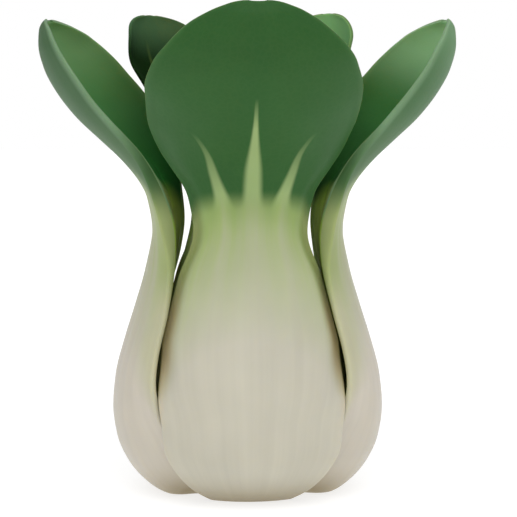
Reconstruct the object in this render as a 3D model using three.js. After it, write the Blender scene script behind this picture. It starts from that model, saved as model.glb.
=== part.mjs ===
import * as THREE from "three";

// A head of baby bok choy standing on its cut stem. Millimetres, +Z up, the cut face at z = 0.
// Every leaf is a thick sheet. A table of stations draws its outer face from the foot, where it meets
// the core, to the tip; the inner face lies one thickness behind it, and the margins are rounded.

// What each station gives: how far along the leaf it is (0 foot, 1 tip); the outer face's radius and
// height on the middle line; the lean of the cross-section from level, in degrees; its half width; its
// wrap, half the angle of its arc; the thickness in the middle and at the margins; and how far the
// margins are tucked in so that a neighbour's margins can lie over them.
const STATION = ["at", "r", "z", "lean", "half", "wrap", "thick", "edge", "tuck"];

// Front and back outer leaves: the thick stalk from the flat foot over the bulb to the neck.
const OUTER_STALK = [
  [0.0, 17.2, 0.0, 0, 8.3, 29, 14.0, 8.0, 0],
  [0.03, 23.0, 0.1, 0, 10.8, 28, 12.3, 5.5, 0],
  [0.055, 28.2, 1.9, 0, 13.4, 28.5, 10.6, 3.0, 0],
  [0.09, 33.9, 5.6, 0, 18.4, 33, 9.6, 2.2, 0],
  [0.13, 38.8, 11.4, 0, 23.4, 37, 9.2, 1.9, 0],
  [0.175, 42.0, 18.4, 0, 26.7, 39.5, 9.0, 1.9, 0],
  [0.22, 43.2, 27.0, 0, 27.5, 39.5, 9.0, 2.0, 0],
  [0.275, 42.3, 37.4, 0, 30.8, 46.2, 8.8, 2.2, 3.3],
  [0.335, 39.3, 48.8, 0, 31.2, 51, 8.4, 2.4, 4.9],
  [0.395, 35.7, 59.8, 0, 28.9, 50, 8.0, 2.4, 5.0],
  [0.455, 32.2, 71.6, 0, 25.3, 48, 7.2, 2.6, 4.6],
  [0.515, 30.0, 84.3, 0, 19.4, 42, 6.2, 2.8, 3.3],
];
// Left and right outer leaves: the same bulb, wider round it, with their margins tucked in.
const SIDE_STALK = [
  [0.0, 17.0, 0.0, 0, 12.7, 49, 14.0, 8.0, 0],
  [0.03, 23.0, 0.0, 0, 17.8, 51, 12.3, 5.5, 1.6],
  [0.055, 28.4, 0.8, 0, 23.0, 54.5, 10.6, 3.4, 3.9],
  [0.09, 34.0, 4.5, 0, 28.4, 56.5, 9.6, 3.0, 4.4],
  [0.13, 38.9, 10.6, 0, 31.3, 53.5, 9.2, 3.0, 4.2],
  [0.175, 42.0, 18.0, 0, 32.2, 50, 9.0, 2.8, 3.8],
  [0.22, 43.2, 27.0, 0, 30.2, 43, 9.0, 2.2, 2.6],
  [0.275, 42.3, 37.4, 0, 29.0, 40.3, 8.8, 1.9, 0.4],
  [0.335, 39.3, 48.8, 0, 26.3, 39.2, 8.4, 1.8, 0],
  [0.395, 35.7, 59.8, 0, 23.6, 39.6, 8.0, 1.9, 0],
  [0.455, 32.2, 71.6, 0, 20.4, 38.2, 7.2, 2.6, 0],
  [0.515, 30.0, 84.3, 0, 17.8, 23.5, 6.2, 5.0, 0],
];
// The broad blades. The side leaves' margins stay thick and pale further up, and their cups are flatter.
const OUTER_BLADE = [
  [0.57, 31.3, 93.8, 8, 20.9, 43, 4.9, 2.6, 2.5],
  [0.6, 33.6, 98.8, 14, 24.6, 46, 4.2, 2.2, 1.8],
  [0.63, 37.8, 104.4, 22, 29.3, 49, 3.6, 1.8, 1.1],
  [0.69, 46.0, 111.8, 32, 31.9, 49, 2.9, 1.4, 0.3],
  [0.75, 53.5, 118.8, 38, 32.3, 47, 2.4, 1.3, 0],
  [0.81, 60.3, 126.6, 38, 29.9, 46, 2.0, 1.2, 0],
  [0.87, 64.8, 133.6, 34, 25.8, 47, 1.7, 1.2, 0],
  [0.93, 66.9, 141.8, 26, 19.3, 49, 1.5, 1.2, 0],
  [0.97, 66.8, 147.4, 21, 12.5, 48, 1.4, 1.2, 0],
  [0.985, 66.4, 149.2, 20, 9.2, 46, 1.4, 1.2, 0],
  [0.995, 66.0, 150.8, 19, 5.6, 49, 1.4, 1.2, 0],
  [1.0, 65.7, 151.7, 18, 1.8, 48, 1.4, 1.2, 0],
];
const SIDE_BLADE = [
  [0.57, 31.2, 94.1, 7.6, 18.2, 20.5, 4.9, 4.4, 0],
  [0.6, 33.5, 98.7, 13.7, 21.2, 26.2, 4.2, 3.6, 0],
  [0.63, 37.9, 104.0, 21.9, 26.7, 33.2, 3.6, 2.7, 0],
  [0.69, 46.3, 111.4, 32.2, 31.9, 39.4, 2.9, 1.8, 0],
  [0.75, 54.2, 118.4, 38.4, 32.5, 44.5, 2.4, 1.4, 0],
  [0.81, 61.2, 126.7, 38.6, 30.2, 49.4, 2.0, 1.2, 0],
  [0.87, 65.6, 134.2, 34.5, 26.1, 52.1, 1.7, 1.2, 0],
  [0.93, 68.0, 142.2, 26.1, 20.0, 51.6, 1.5, 1.2, 0],
  [0.97, 68.3, 147.4, 20.8, 12.9, 49, 1.4, 1.2, 0],
  [0.985, 67.9, 149.2, 19.3, 9.3, 45, 1.4, 1.2, 0],
  [0.995, 67.3, 150.5, 18, 5.6, 40, 1.4, 1.2, 0],
  [1.0, 66.9, 151.4, 17.4, 1.8, 37, 1.4, 1.2, 0],
];
// The middle leaves stand inside the outer ones, narrower and straighter.
const MIDDLE = [
  [0.0, 16.0, 15.2, 0, 9.4, 36, 9.0, 7.0, 0],
  [0.05, 21.0, 15.5, 0, 12.3, 36, 8.0, 5.0, 0],
  [0.09, 26.0, 18.6, 0, 15.6, 37, 7.0, 3.4, 0],
  [0.14, 30.3, 24.8, 0, 18.7, 38, 6.2, 2.8, 0],
  [0.2, 32.1, 33.0, 0, 20.0, 38.5, 6.0, 2.6, 0],
  [0.27, 31.2, 43.0, 0, 19.4, 38.5, 5.8, 2.6, 0],
  [0.34, 28.0, 54.0, 0, 17.2, 38, 5.5, 2.6, 0],
  [0.41, 23.8, 65.0, 0, 14.7, 38, 5.2, 2.5, 0],
  [0.48, 20.6, 76.5, 0, 12.2, 39, 4.8, 2.3, 0],
  [0.55, 18.8, 88.0, 0, 10.2, 42, 4.2, 2.0, 0],
  [0.62, 20.2, 98.5, 6, 11, 47, 3.3, 1.5, 0],
  [0.69, 25.0, 108.5, 16, 15.1, 50, 2.6, 1.2, 0],
  [0.76, 31.5, 118.2, 24, 19.5, 49, 2.1, 1.1, 0],
  [0.83, 38.4, 128.2, 28, 21.2, 45.5, 1.8, 1.1, 0],
  [0.9, 44.6, 138.5, 28, 18.5, 41.5, 1.5, 1.1, 0],
  [0.95, 48.3, 146.0, 25, 13.6, 36, 1.3, 1.1, 0],
  [0.98, 49.9, 149.9, 22, 8.8, 31, 1.2, 1.1, 0],
  [0.994, 50.4, 151.5, 20, 5.0, 28, 1.2, 1.1, 0],
  [1.0, 50.6, 152.2, 20, 1.9, 27, 1.2, 1.1, 0],
];
const INNER = [
  [0.0, 13.4, 25.2, 0, 8.1, 37, 6.0, 5.0, 0],
  [0.06, 17.5, 25.6, 0, 10.5, 37, 5.4, 4.0, 0],
  [0.11, 21.2, 28.8, 0, 13.1, 38, 4.9, 2.6, 0],
  [0.18, 24.2, 35.5, 0, 15.1, 38.5, 4.5, 2.2, 0],
  [0.26, 24.4, 45.0, 0, 15.2, 38.5, 4.3, 2.2, 0],
  [0.35, 21.1, 55.5, 0, 13.1, 38.5, 4.0, 2.0, 0],
  [0.45, 17.4, 66.5, 0, 10.8, 38.5, 3.7, 1.9, 0],
  [0.55, 14.6, 77.5, 0, 9.1, 38.5, 3.2, 1.7, 0],
  [0.64, 12.2, 88.0, 0, 7.6, 38.5, 2.6, 1.3, 0],
  [0.73, 11.2, 98.0, 2, 6.9, 40, 1.9, 1.1, 0],
  [0.82, 11.6, 107.0, 5, 7.2, 40, 1.5, 1.0, 0],
  [0.9, 12.8, 115.0, 8, 7.1, 38, 1.3, 1.0, 0],
  [0.96, 13.9, 120.8, 10, 5.4, 34, 1.1, 1.0, 0],
  [1.0, 14.6, 124.2, 12, 1.6, 20, 1.1, 1.0, 0],
];
const HEART = [
  [0.0, 10.9, 32.4, 0, 8.3, 50, 4.6, 3.6, 0],
  [0.08, 14.0, 33.2, 0, 10.7, 50, 4.0, 2.6, 0],
  [0.15, 16.8, 37.0, 0, 13.0, 51, 3.5, 1.8, 0],
  [0.25, 18.9, 44.5, 0, 14.7, 51, 3.1, 1.6, 0],
  [0.36, 17.0, 54.0, 0, 13.1, 50.5, 2.9, 1.5, 0],
  [0.48, 13.6, 64.0, 0, 10.4, 50, 2.6, 1.4, 0],
  [0.6, 9.9, 73.0, 0, 7.6, 50, 2.2, 1.2, 0],
  [0.72, 7.0, 81.0, 0, 5.4, 50, 1.7, 1.0, 0],
  [0.84, 5.1, 89.0, 0, 3.8, 49, 1.4, 0.9, 0],
  [0.93, 4.0, 95.5, 0, 2.7, 44, 1.2, 0.9, 0],
  [1.0, 3.6, 100.0, 0, 0.9, 16, 1.1, 0.9, 0],
];
const BUD = [
  [0.0, 7.6, 38.5, 0, 7.2, 72, 3.4, 2.8, 0],
  [0.1, 10.2, 39.6, 0, 9.7, 72, 3.0, 2.0, 0],
  [0.2, 12.6, 44.0, 0, 12.0, 72, 2.7, 1.6, 0],
  [0.34, 13.8, 52.0, 0, 13.0, 70, 2.5, 1.4, 0],
  [0.5, 10.8, 59.5, 0, 10.0, 68, 2.2, 1.3, 0],
  [0.66, 7.2, 66.5, 0, 6.5, 66, 1.8, 1.1, 0],
  [0.8, 4.2, 73.0, 0, 3.7, 62, 1.4, 0.9, 0],
  [0.92, 2.7, 78.5, 0, 2.0, 50, 1.1, 0.8, 0],
  [1.0, 2.1, 82.0, 0, 0.7, 20, 1.0, 0.8, 0],
];
// The core, radius against height: a short stem that narrows in steps where each ring of leaves grows.
const CORE = [
  [0, 0], [16.0, 0], [16.5, 0.6], [16.5, 14.0], [15.4, 14.9], [14.6, 20], [13.2, 24.2], [12.7, 25.2],
  [11.5, 29], [10.4, 31.8], [9.0, 35.5], [7.1, 38.2], [5.2, 41.8], [2.9, 44.8], [0, 46],
];

// Blades may stand out more or less, reach higher or lower and be wider than their table: "neck" is the
// station the blade begins at, "ripple" the height of the waves along the margins. A leaf with a "turn"
// goes that many degrees round the head on its way up, beginning "twist" below its neck. "fold" is
// where, from the middle line (0) to the margin (1), a tuck begins and where it is complete.
const OUTER = { neck: 0.515, steps: 28, across: 12 };
const FACING = { ...OUTER, rows: [...OUTER_STALK, ...OUTER_BLADE], fold: [0.62, 0.97] };
const SIDE = { ...OUTER, rows: [...SIDE_STALK, ...SIDE_BLADE], fold: [0.5, 0.88] };
const LEAVES = [
  { ...FACING, name: "outer_leaf_front", azimuth: 3, rise: 1.01, ripple: 0.2 },
  { ...SIDE, name: "outer_leaf_right", azimuth: 91.9, turn: 11.4, twist: 0.06, rise: 0.99, ripple: 0.12 },
  { ...FACING, name: "outer_leaf_back", azimuth: 182.5, breadth: 0.77, ripple: 0.7 },
  { ...SIDE, name: "outer_leaf_left", azimuth: -86.2, turn: -16.1, twist: 0.15, rise: 0.988, ripple: 0.12 },
];
const MIDDLE_RING = { rows: MIDDLE, neck: 0.55, steps: 21, across: 8, ripple: 0.6 };
LEAVES.push(
  { name: "middle_leaf_back_left", azimuth: -137, ...MIDDLE_RING, rise: 1.01, spread: 0.96 },
  { name: "middle_leaf_back_right", azimuth: 140, ...MIDDLE_RING, rise: 1.017, spread: 0.74, breadth: 0.96 },
  { name: "middle_leaf_front_left", azimuth: -46, ...MIDDLE_RING, rise: 0.55, spread: 0.34, breadth: 0.72 },
  { name: "middle_leaf_front_right", azimuth: 47, ...MIDDLE_RING, rise: 0.5, spread: 0.32, breadth: 0.72 },
);
for (const [i, azimuth] of [6, 97, 185, -84].entries())
  LEAVES.push({ name: `inner_leaf_${i + 1}`, azimuth, rows: INNER, neck: 0.64, steps: 14, across: 6,
    ripple: 0.3, rise: 1 - 0.06 * i });
for (const [i, azimuth] of [40, 160, 280].entries())
  LEAVES.push({ name: `heart_leaf_${i + 1}`, azimuth, rows: HEART, neck: 0.72, steps: 11, across: 6,
    ripple: 0, rise: 1 - 0.08 * i });
for (const [i, azimuth] of [10, 190].entries())
  LEAVES.push({ name: `bud_leaf_${i + 1}`, azimuth, rows: BUD, neck: 0.8, steps: 9, across: 6,
    ripple: 0, rise: 1 - 0.1 * i });

const RIPPLES = 3.5; // waves along each margin of a blade

const UP = new THREE.Vector3(0, 0, 1);
const radians = THREE.MathUtils.degToRad;
const ease = (x, a, b) => THREE.MathUtils.smoothstep(x, a, b);

// A station's value at any place along the leaf, on a smooth curve that never overshoots its table.
function between(rows, column, at) {
  let i = 0;
  while (i < rows.length - 2 && at > rows[i + 1][0]) i++;
  const rate = (k) => (rows[k + 1][column] - rows[k][column]) / (rows[k + 1][0] - rows[k][0]);
  const slope = (k) => {
    if (k === 0) return rate(0);
    if (k === rows.length - 1) return rate(k - 1);
    const a = rate(k - 1), b = rate(k);
    return a * b > 0 ? (2 * a * b) / (a + b) : 0;
  };
  const h = rows[i + 1][0] - rows[i][0];
  const t = (at - rows[i][0]) / h, t2 = t * t, t3 = t2 * t;
  return (2 * t3 - 3 * t2 + 1) * rows[i][column] + (t3 - 2 * t2 + t) * h * slope(i)
    + (3 * t2 - 2 * t3) * rows[i + 1][column] + (t3 - t2) * h * slope(i + 1);
}

// All of a station's values, with the leaf's own spread, rise and width beyond its neck.
function stationAt(leaf, at) {
  const s = {};
  STATION.forEach((name, column) => { s[name] = between(leaf.rows, column, at); });
  if (at > leaf.neck) {
    const neckR = between(leaf.rows, 1, leaf.neck), neckZ = between(leaf.rows, 2, leaf.neck);
    s.r = neckR + (s.r - neckR) * (leaf.spread ?? 1);
    s.z = neckZ + (s.z - neckZ) * (leaf.rise ?? 1);
    s.half *= 1 + ((leaf.breadth ?? 1) - 1) * ease(at, leaf.neck, leaf.neck + 0.15);
  }
  return s;
}

// A point of the bare outer face; u runs from one margin (-1) to the other (1). The leaf is drawn
// standing out along +X and turned to its azimuth afterwards.
function facePoint(leaf, at, u) {
  const s = stationAt(leaf, at);
  const wrap = radians(s.wrap), lean = radians(s.lean);
  const arc = s.half / Math.sin(wrap);
  const deep = arc * (1 - Math.cos(u * wrap));
  const point = new THREE.Vector3(s.r - deep * Math.cos(lean), arc * Math.sin(u * wrap),
    s.z + deep * Math.sin(lean));
  const turned = ease(at, leaf.neck - (leaf.twist ?? 0.1), leaf.neck + 0.2);
  return point.applyAxisAngle(UP, radians(leaf.turn ?? 0) * turned);
}

// The direction into the leaf, square to its outer face.
function inward(leaf, at, u) {
  const a0 = Math.max(at - 0.004, 0), a1 = Math.min(at + 0.004, 1);
  const along = facePoint(leaf, a1, u).sub(facePoint(leaf, a0, u));
  const across = facePoint(leaf, at, u + 0.01).sub(facePoint(leaf, at, u - 0.01));
  return along.cross(across).normalize();
}

// Outer and inner points of the leaf at one place.
function skin(leaf, at, u) {
  const s = stationAt(leaf, at), n = inward(leaf, at, u);
  const blade = ease(at, leaf.neck, leaf.neck + 0.16), side = Math.abs(u);
  // In the stalk the flesh is broad and fades to the margins; in the blade it is a narrow midrib.
  const flesh = (1 - blade) * (1 - side ** 2.6) + blade * Math.exp(-((u / 0.11) ** 2));
  const thick = s.edge + (s.thick - s.edge) * flesh;
  const wave = (leaf.ripple ?? 0) * ease(at, leaf.neck, leaf.neck + 0.2) * (1 - ease(at, 0.9, 1))
    * side ** 3 * Math.sin(2 * Math.PI * RIPPLES * (at - leaf.neck) / (1 - leaf.neck) + 2 * u);
  const shift = s.tuck * ease(side, ...(leaf.fold ?? [0.5, 0.88])) + wave - 0.4 * blade * (thick - s.edge);
  const outer = facePoint(leaf, at, u).addScaledVector(n, shift);
  return { outer, inner: outer.clone().addScaledVector(n, thick) };
}

// Places across the leaf, closer together at the margins and by the midrib.
function spacing(across) {
  return Array.from({ length: across + 1 }, (_, j) => {
    const x = (2 * j) / across - 1;
    if (across < 12) return Math.sin((Math.PI / 2) * x * 0.9) / Math.sin((Math.PI / 2) * 0.9);
    return Math.sign(x) * (0.55 * Math.abs(x) + 0.45 * Math.sin((Math.PI / 2) * Math.abs(x)) ** 2);
  });
}

// Places along the leaf: closer together over the rounded foot, and closest where the tip rounds off.
function ringPlaces(steps) {
  const places = Array.from({ length: steps + 1 }, (_, k) => {
    const x = k / steps;
    return x - (0.35 * Math.sin(2 * Math.PI * x)) / (2 * Math.PI);
  });
  places.splice(steps, 0, 0.991);
  return places;
}

// One leaf as a closed mesh: a ring of points at each step, joined ring to ring and capped.
function leafGeometry(leaf) {
  const us = spacing(leaf.across), points = [], faces = [];
  const n = us.length, ring = 2 * n + 2;
  const places = ringPlaces(leaf.steps);
  for (const at of places) {
    const rows = us.map((u) => skin(leaf, at, u));
    const margin = (j, side) => {
      const { outer, inner } = rows[j];
      const out = facePoint(leaf, at, side).sub(facePoint(leaf, at, side * 0.98)).normalize();
      const bulge = Math.min(outer.distanceTo(inner) * 0.42, 1.3);
      return outer.clone().add(inner).multiplyScalar(0.5).addScaledVector(out, bulge);
    };
    points.push(...rows.map((p) => p.outer), margin(n - 1, 1), ...rows.map((p) => p.inner).reverse(),
      margin(0, -1));
  }
  const quad = (a, b, c, d, turn) => faces.push(...(turn ? [a, b, d, b, c, d] : [a, b, c, a, c, d]));
  const last = places.length - 1;
  for (let k = 0; k < last; k++)
    for (let j = 0; j < ring; j++) {
      const a = k * ring + j, b = k * ring + ((j + 1) % ring);
      quad(a, b, b + ring, a + ring, j >= n && j < 2 * n + 1); // both faces are split the same way
    }
  const cap = (start, flip) => {
    const tri = (a, b, c) => faces.push(start + a, start + (flip ? c : b), start + (flip ? b : c));
    for (let j = 0; j < n - 1; j++) {
      const back = 2 * n - j; // the inner point opposite outer point j
      tri(j, back, j + 1);
      tri(j + 1, back, back - 1);
    }
    tri(n - 1, n + 1, n);
    tri(0, 2 * n + 1, 2 * n);
  };
  cap(0, false);
  cap(last * ring, true);
  const geometry = new THREE.BufferGeometry().setFromPoints(points);
  geometry.setIndex(faces);
  geometry.rotateZ(radians(leaf.azimuth - 90));
  geometry.computeVertexNormals();
  return geometry;
}

function coreGeometry() {
  const profile = CORE.map(([r, z]) => new THREE.Vector2(r, z));
  return new THREE.LatheGeometry(profile, 32).rotateX(Math.PI / 2);
}

const green = (name) => new THREE.MeshStandardMaterial({
  name, color: name.startsWith("outer") ? 0x5f8f4e : 0x8fb56a, roughness: 0.5, metalness: 0 });

const head = new THREE.Group();
head.name = "bok_choy";
for (const leaf of LEAVES) {
  const mesh = new THREE.Mesh(leafGeometry(leaf), green(leaf.name));
  mesh.name = leaf.name;
  head.add(mesh);
}
const core = new THREE.Mesh(coreGeometry(),
  new THREE.MeshStandardMaterial({ name: "core", color: 0xe8e2c4, roughness: 0.6, metalness: 0 }));
core.name = "core";
head.add(core);

export default head;
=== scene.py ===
# %% [markdown]
# # A head of baby bok choy
# Every leaf starts as a flat grid, is bent over a table of cross-sections, gets its flesh from a
# Solidify modifier and its rounded margins from a Subdivision Surface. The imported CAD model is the
# frame: each grown leaf stands exactly where its CAD solid stands and takes its place.

# %% The frame
import math

import bpy
import numpy as np
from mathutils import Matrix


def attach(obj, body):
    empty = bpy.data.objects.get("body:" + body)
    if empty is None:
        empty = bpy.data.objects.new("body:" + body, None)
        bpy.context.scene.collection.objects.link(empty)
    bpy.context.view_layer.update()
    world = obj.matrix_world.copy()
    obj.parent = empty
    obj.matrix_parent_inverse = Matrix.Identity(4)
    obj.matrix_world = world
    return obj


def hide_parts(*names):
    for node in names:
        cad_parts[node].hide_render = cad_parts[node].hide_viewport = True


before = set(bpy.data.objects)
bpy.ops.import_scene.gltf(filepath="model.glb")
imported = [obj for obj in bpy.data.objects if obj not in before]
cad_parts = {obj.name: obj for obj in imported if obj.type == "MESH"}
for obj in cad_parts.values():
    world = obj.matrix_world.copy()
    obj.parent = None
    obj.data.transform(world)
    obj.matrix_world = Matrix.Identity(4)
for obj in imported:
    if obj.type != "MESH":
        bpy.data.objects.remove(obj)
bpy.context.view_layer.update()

MM = 0.001  # the tables are in millimetres, Blender works in metres

# %% [markdown]
# ## The shape of a leaf
# A bok choy leaf is a spoon: a thick pale stalk that swells over the bulb, a neck, and a broad blade
# that leans out. You could push a grid about by hand with proportional editing, but seventeen leaves
# have to nest without touching. So the outer face is drawn by stations, the way a boat's hull is:
# each row of a table is one cross-section, and smooth curves run from one row to the next.

# %% Reading a station table
AT, RADIUS, HEIGHT, LEAN, HALF, WRAP, THICK, EDGE, TUCK = range(9)
# at: place along the leaf, 0 foot to 1 tip; radius and height of the middle line; lean of the
# section from level, degrees; half width; wrap, half the angle of the section's arc; thickness in
# the middle and at the margins; tuck, how far the margins are drawn in under a neighbour's.


def ease(x, start, end):
    """0 before start, 1 after end, a smooth S between them."""
    t = np.clip((np.asarray(x, float) - start) / (end - start), 0, 1)
    return t * t * (3 - 2 * t)


def between(rows, column, at):
    """A column's value at any place, on a smooth curve that never overshoots the table."""
    x, y = rows[:, AT], rows[:, column]
    rate = np.diff(y) / np.diff(x)
    slope = np.append(rate, rate[-1])
    before, after = rate[:-1], rate[1:]
    total = np.where(before * after > 0, before + after, 1)
    slope[1:-1] = np.where(before * after > 0, 2 * before * after / total, 0)
    i = np.clip(np.searchsorted(x, at, side="left") - 1, 0, len(x) - 2)
    h = x[i + 1] - x[i]
    t = (at - x[i]) / h
    return ((2 * t**3 - 3 * t**2 + 1) * y[i] + (t**3 - 2 * t**2 + t) * h * slope[i]
            + (3 * t**2 - 2 * t**3) * y[i + 1] + (t**3 - t**2) * h * slope[i + 1])


# %% The station tables
FRONT_STALK = [
    [0.0, 17.2, 0.0, 0, 8.3, 29, 14.0, 8.0, 0], [0.03, 23.0, 0.1, 0, 10.8, 28, 12.3, 5.5, 0],
    [0.055, 28.2, 1.9, 0, 13.4, 28.5, 10.6, 3.0, 0], [0.09, 33.9, 5.6, 0, 18.4, 33, 9.6, 2.2, 0],
    [0.13, 38.8, 11.4, 0, 23.4, 37, 9.2, 1.9, 0], [0.175, 42.0, 18.4, 0, 26.7, 39.5, 9.0, 1.9, 0],
    [0.22, 43.2, 27.0, 0, 27.5, 39.5, 9.0, 2.0, 0], [0.275, 42.3, 37.4, 0, 30.8, 46.2, 8.8, 2.2, 3.3],
    [0.335, 39.3, 48.8, 0, 31.2, 51, 8.4, 2.4, 4.9], [0.395, 35.7, 59.8, 0, 28.9, 50, 8.0, 2.4, 5.0],
    [0.455, 32.2, 71.6, 0, 25.3, 48, 7.2, 2.6, 4.6], [0.515, 30.0, 84.3, 0, 19.4, 42, 6.2, 2.8, 3.3],
]
SIDE_STALK = [
    [0.0, 17.0, 0.0, 0, 12.7, 49, 14.0, 8.0, 0], [0.03, 23.0, 0.0, 0, 17.8, 51, 12.3, 5.5, 1.6],
    [0.055, 28.4, 0.8, 0, 23.0, 54.5, 10.6, 3.4, 3.9], [0.09, 34.0, 4.5, 0, 28.4, 56.5, 9.6, 3.0, 4.4],
    [0.13, 38.9, 10.6, 0, 31.3, 53.5, 9.2, 3.0, 4.2], [0.175, 42.0, 18.0, 0, 32.2, 50, 9.0, 2.8, 3.8],
    [0.22, 43.2, 27.0, 0, 30.2, 43, 9.0, 2.2, 2.6], [0.275, 42.3, 37.4, 0, 29.0, 40.3, 8.8, 1.9, 0.4],
    [0.335, 39.3, 48.8, 0, 26.3, 39.2, 8.4, 1.8, 0], [0.395, 35.7, 59.8, 0, 23.6, 39.6, 8.0, 1.9, 0],
    [0.455, 32.2, 71.6, 0, 20.4, 38.2, 7.2, 2.6, 0], [0.515, 30.0, 84.3, 0, 17.8, 23.5, 6.2, 5.0, 0],
]
FRONT_BLADE = [
    [0.57, 31.3, 93.8, 8, 20.9, 43, 4.9, 2.6, 2.5], [0.6, 33.6, 98.8, 14, 24.6, 46, 4.2, 2.2, 1.8],
    [0.63, 37.8, 104.4, 22, 29.3, 49, 3.6, 1.8, 1.1], [0.69, 46.0, 111.8, 32, 31.9, 49, 2.9, 1.4, 0.3],
    [0.75, 53.5, 118.8, 38, 32.3, 47, 2.4, 1.3, 0], [0.81, 60.3, 126.6, 38, 29.9, 46, 2.0, 1.2, 0],
    [0.87, 64.8, 133.6, 34, 25.8, 47, 1.7, 1.2, 0], [0.93, 66.9, 141.8, 26, 19.3, 49, 1.5, 1.2, 0],
    [0.97, 66.8, 147.4, 21, 12.5, 48, 1.4, 1.2, 0], [0.985, 66.4, 149.2, 20, 9.2, 46, 1.4, 1.2, 0],
    [0.995, 66.0, 150.8, 19, 5.6, 49, 1.4, 1.2, 0], [1.0, 65.7, 151.7, 18, 1.8, 48, 1.4, 1.2, 0],
]
SIDE_BLADE = [
    [0.57, 31.2, 94.1, 7.6, 18.2, 20.5, 4.9, 4.4, 0], [0.6, 33.5, 98.7, 13.7, 21.2, 26.2, 4.2, 3.6, 0],
    [0.63, 37.9, 104.0, 21.9, 26.7, 33.2, 3.6, 2.7, 0], [0.69, 46.3, 111.4, 32.2, 31.9, 39.4, 2.9, 1.8, 0],
    [0.75, 54.2, 118.4, 38.4, 32.5, 44.5, 2.4, 1.4, 0], [0.81, 61.2, 126.7, 38.6, 30.2, 49.4, 2.0, 1.2, 0],
    [0.87, 65.6, 134.2, 34.5, 26.1, 52.1, 1.7, 1.2, 0], [0.93, 68.0, 142.2, 26.1, 20.0, 51.6, 1.5, 1.2, 0],
    [0.97, 68.3, 147.4, 20.8, 12.9, 49, 1.4, 1.2, 0], [0.985, 67.9, 149.2, 19.3, 9.3, 45, 1.4, 1.2, 0],
    [0.995, 67.3, 150.5, 18, 5.6, 40, 1.4, 1.2, 0], [1.0, 66.9, 151.4, 17.4, 1.8, 37, 1.4, 1.2, 0],
]
MIDDLE = [
    [0.0, 16.0, 15.2, 0, 9.4, 36, 9.0, 7.0, 0], [0.05, 21.0, 15.5, 0, 12.3, 36, 8.0, 5.0, 0],
    [0.09, 26.0, 18.6, 0, 15.6, 37, 7.0, 3.4, 0], [0.14, 30.3, 24.8, 0, 18.7, 38, 6.2, 2.8, 0],
    [0.2, 32.1, 33.0, 0, 20.0, 38.5, 6.0, 2.6, 0], [0.27, 31.2, 43.0, 0, 19.4, 38.5, 5.8, 2.6, 0],
    [0.34, 28.0, 54.0, 0, 17.2, 38, 5.5, 2.6, 0], [0.41, 23.8, 65.0, 0, 14.7, 38, 5.2, 2.5, 0],
    [0.48, 20.6, 76.5, 0, 12.2, 39, 4.8, 2.3, 0], [0.55, 18.8, 88.0, 0, 10.2, 42, 4.2, 2.0, 0],
    [0.62, 20.2, 98.5, 6, 11, 47, 3.3, 1.5, 0], [0.69, 25.0, 108.5, 16, 15.1, 50, 2.6, 1.2, 0],
    [0.76, 31.5, 118.2, 24, 19.5, 49, 2.1, 1.1, 0], [0.83, 38.4, 128.2, 28, 21.2, 45.5, 1.8, 1.1, 0],
    [0.9, 44.6, 138.5, 28, 18.5, 41.5, 1.5, 1.1, 0], [0.95, 48.3, 146.0, 25, 13.6, 36, 1.3, 1.1, 0],
    [0.98, 49.9, 149.9, 22, 8.8, 31, 1.2, 1.1, 0], [0.994, 50.4, 151.5, 20, 5.0, 28, 1.2, 1.1, 0],
    [1.0, 50.6, 152.2, 20, 1.9, 27, 1.2, 1.1, 0],
]
INNER = [
    [0.0, 13.4, 25.2, 0, 8.1, 37, 6.0, 5.0, 0], [0.06, 17.5, 25.6, 0, 10.5, 37, 5.4, 4.0, 0],
    [0.11, 21.2, 28.8, 0, 13.1, 38, 4.9, 2.6, 0], [0.18, 24.2, 35.5, 0, 15.1, 38.5, 4.5, 2.2, 0],
    [0.26, 24.4, 45.0, 0, 15.2, 38.5, 4.3, 2.2, 0], [0.35, 21.1, 55.5, 0, 13.1, 38.5, 4.0, 2.0, 0],
    [0.45, 17.4, 66.5, 0, 10.8, 38.5, 3.7, 1.9, 0], [0.55, 14.6, 77.5, 0, 9.1, 38.5, 3.2, 1.7, 0],
    [0.64, 12.2, 88.0, 0, 7.6, 38.5, 2.6, 1.3, 0], [0.73, 11.2, 98.0, 2, 6.9, 40, 1.9, 1.1, 0],
    [0.82, 11.6, 107.0, 5, 7.2, 40, 1.5, 1.0, 0], [0.9, 12.8, 115.0, 8, 7.1, 38, 1.3, 1.0, 0],
    [0.96, 13.9, 120.8, 10, 5.4, 34, 1.1, 1.0, 0], [1.0, 14.6, 124.2, 12, 1.6, 20, 1.1, 1.0, 0],
]
HEART = [
    [0.0, 10.9, 32.4, 0, 8.3, 50, 4.6, 3.6, 0], [0.08, 14.0, 33.2, 0, 10.7, 50, 4.0, 2.6, 0],
    [0.15, 16.8, 37.0, 0, 13.0, 51, 3.5, 1.8, 0], [0.25, 18.9, 44.5, 0, 14.7, 51, 3.1, 1.6, 0],
    [0.36, 17.0, 54.0, 0, 13.1, 50.5, 2.9, 1.5, 0], [0.48, 13.6, 64.0, 0, 10.4, 50, 2.6, 1.4, 0],
    [0.6, 9.9, 73.0, 0, 7.6, 50, 2.2, 1.2, 0], [0.72, 7.0, 81.0, 0, 5.4, 50, 1.7, 1.0, 0],
    [0.84, 5.1, 89.0, 0, 3.8, 49, 1.4, 0.9, 0], [0.93, 4.0, 95.5, 0, 2.7, 44, 1.2, 0.9, 0],
    [1.0, 3.6, 100.0, 0, 0.9, 16, 1.1, 0.9, 0],
]
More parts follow.
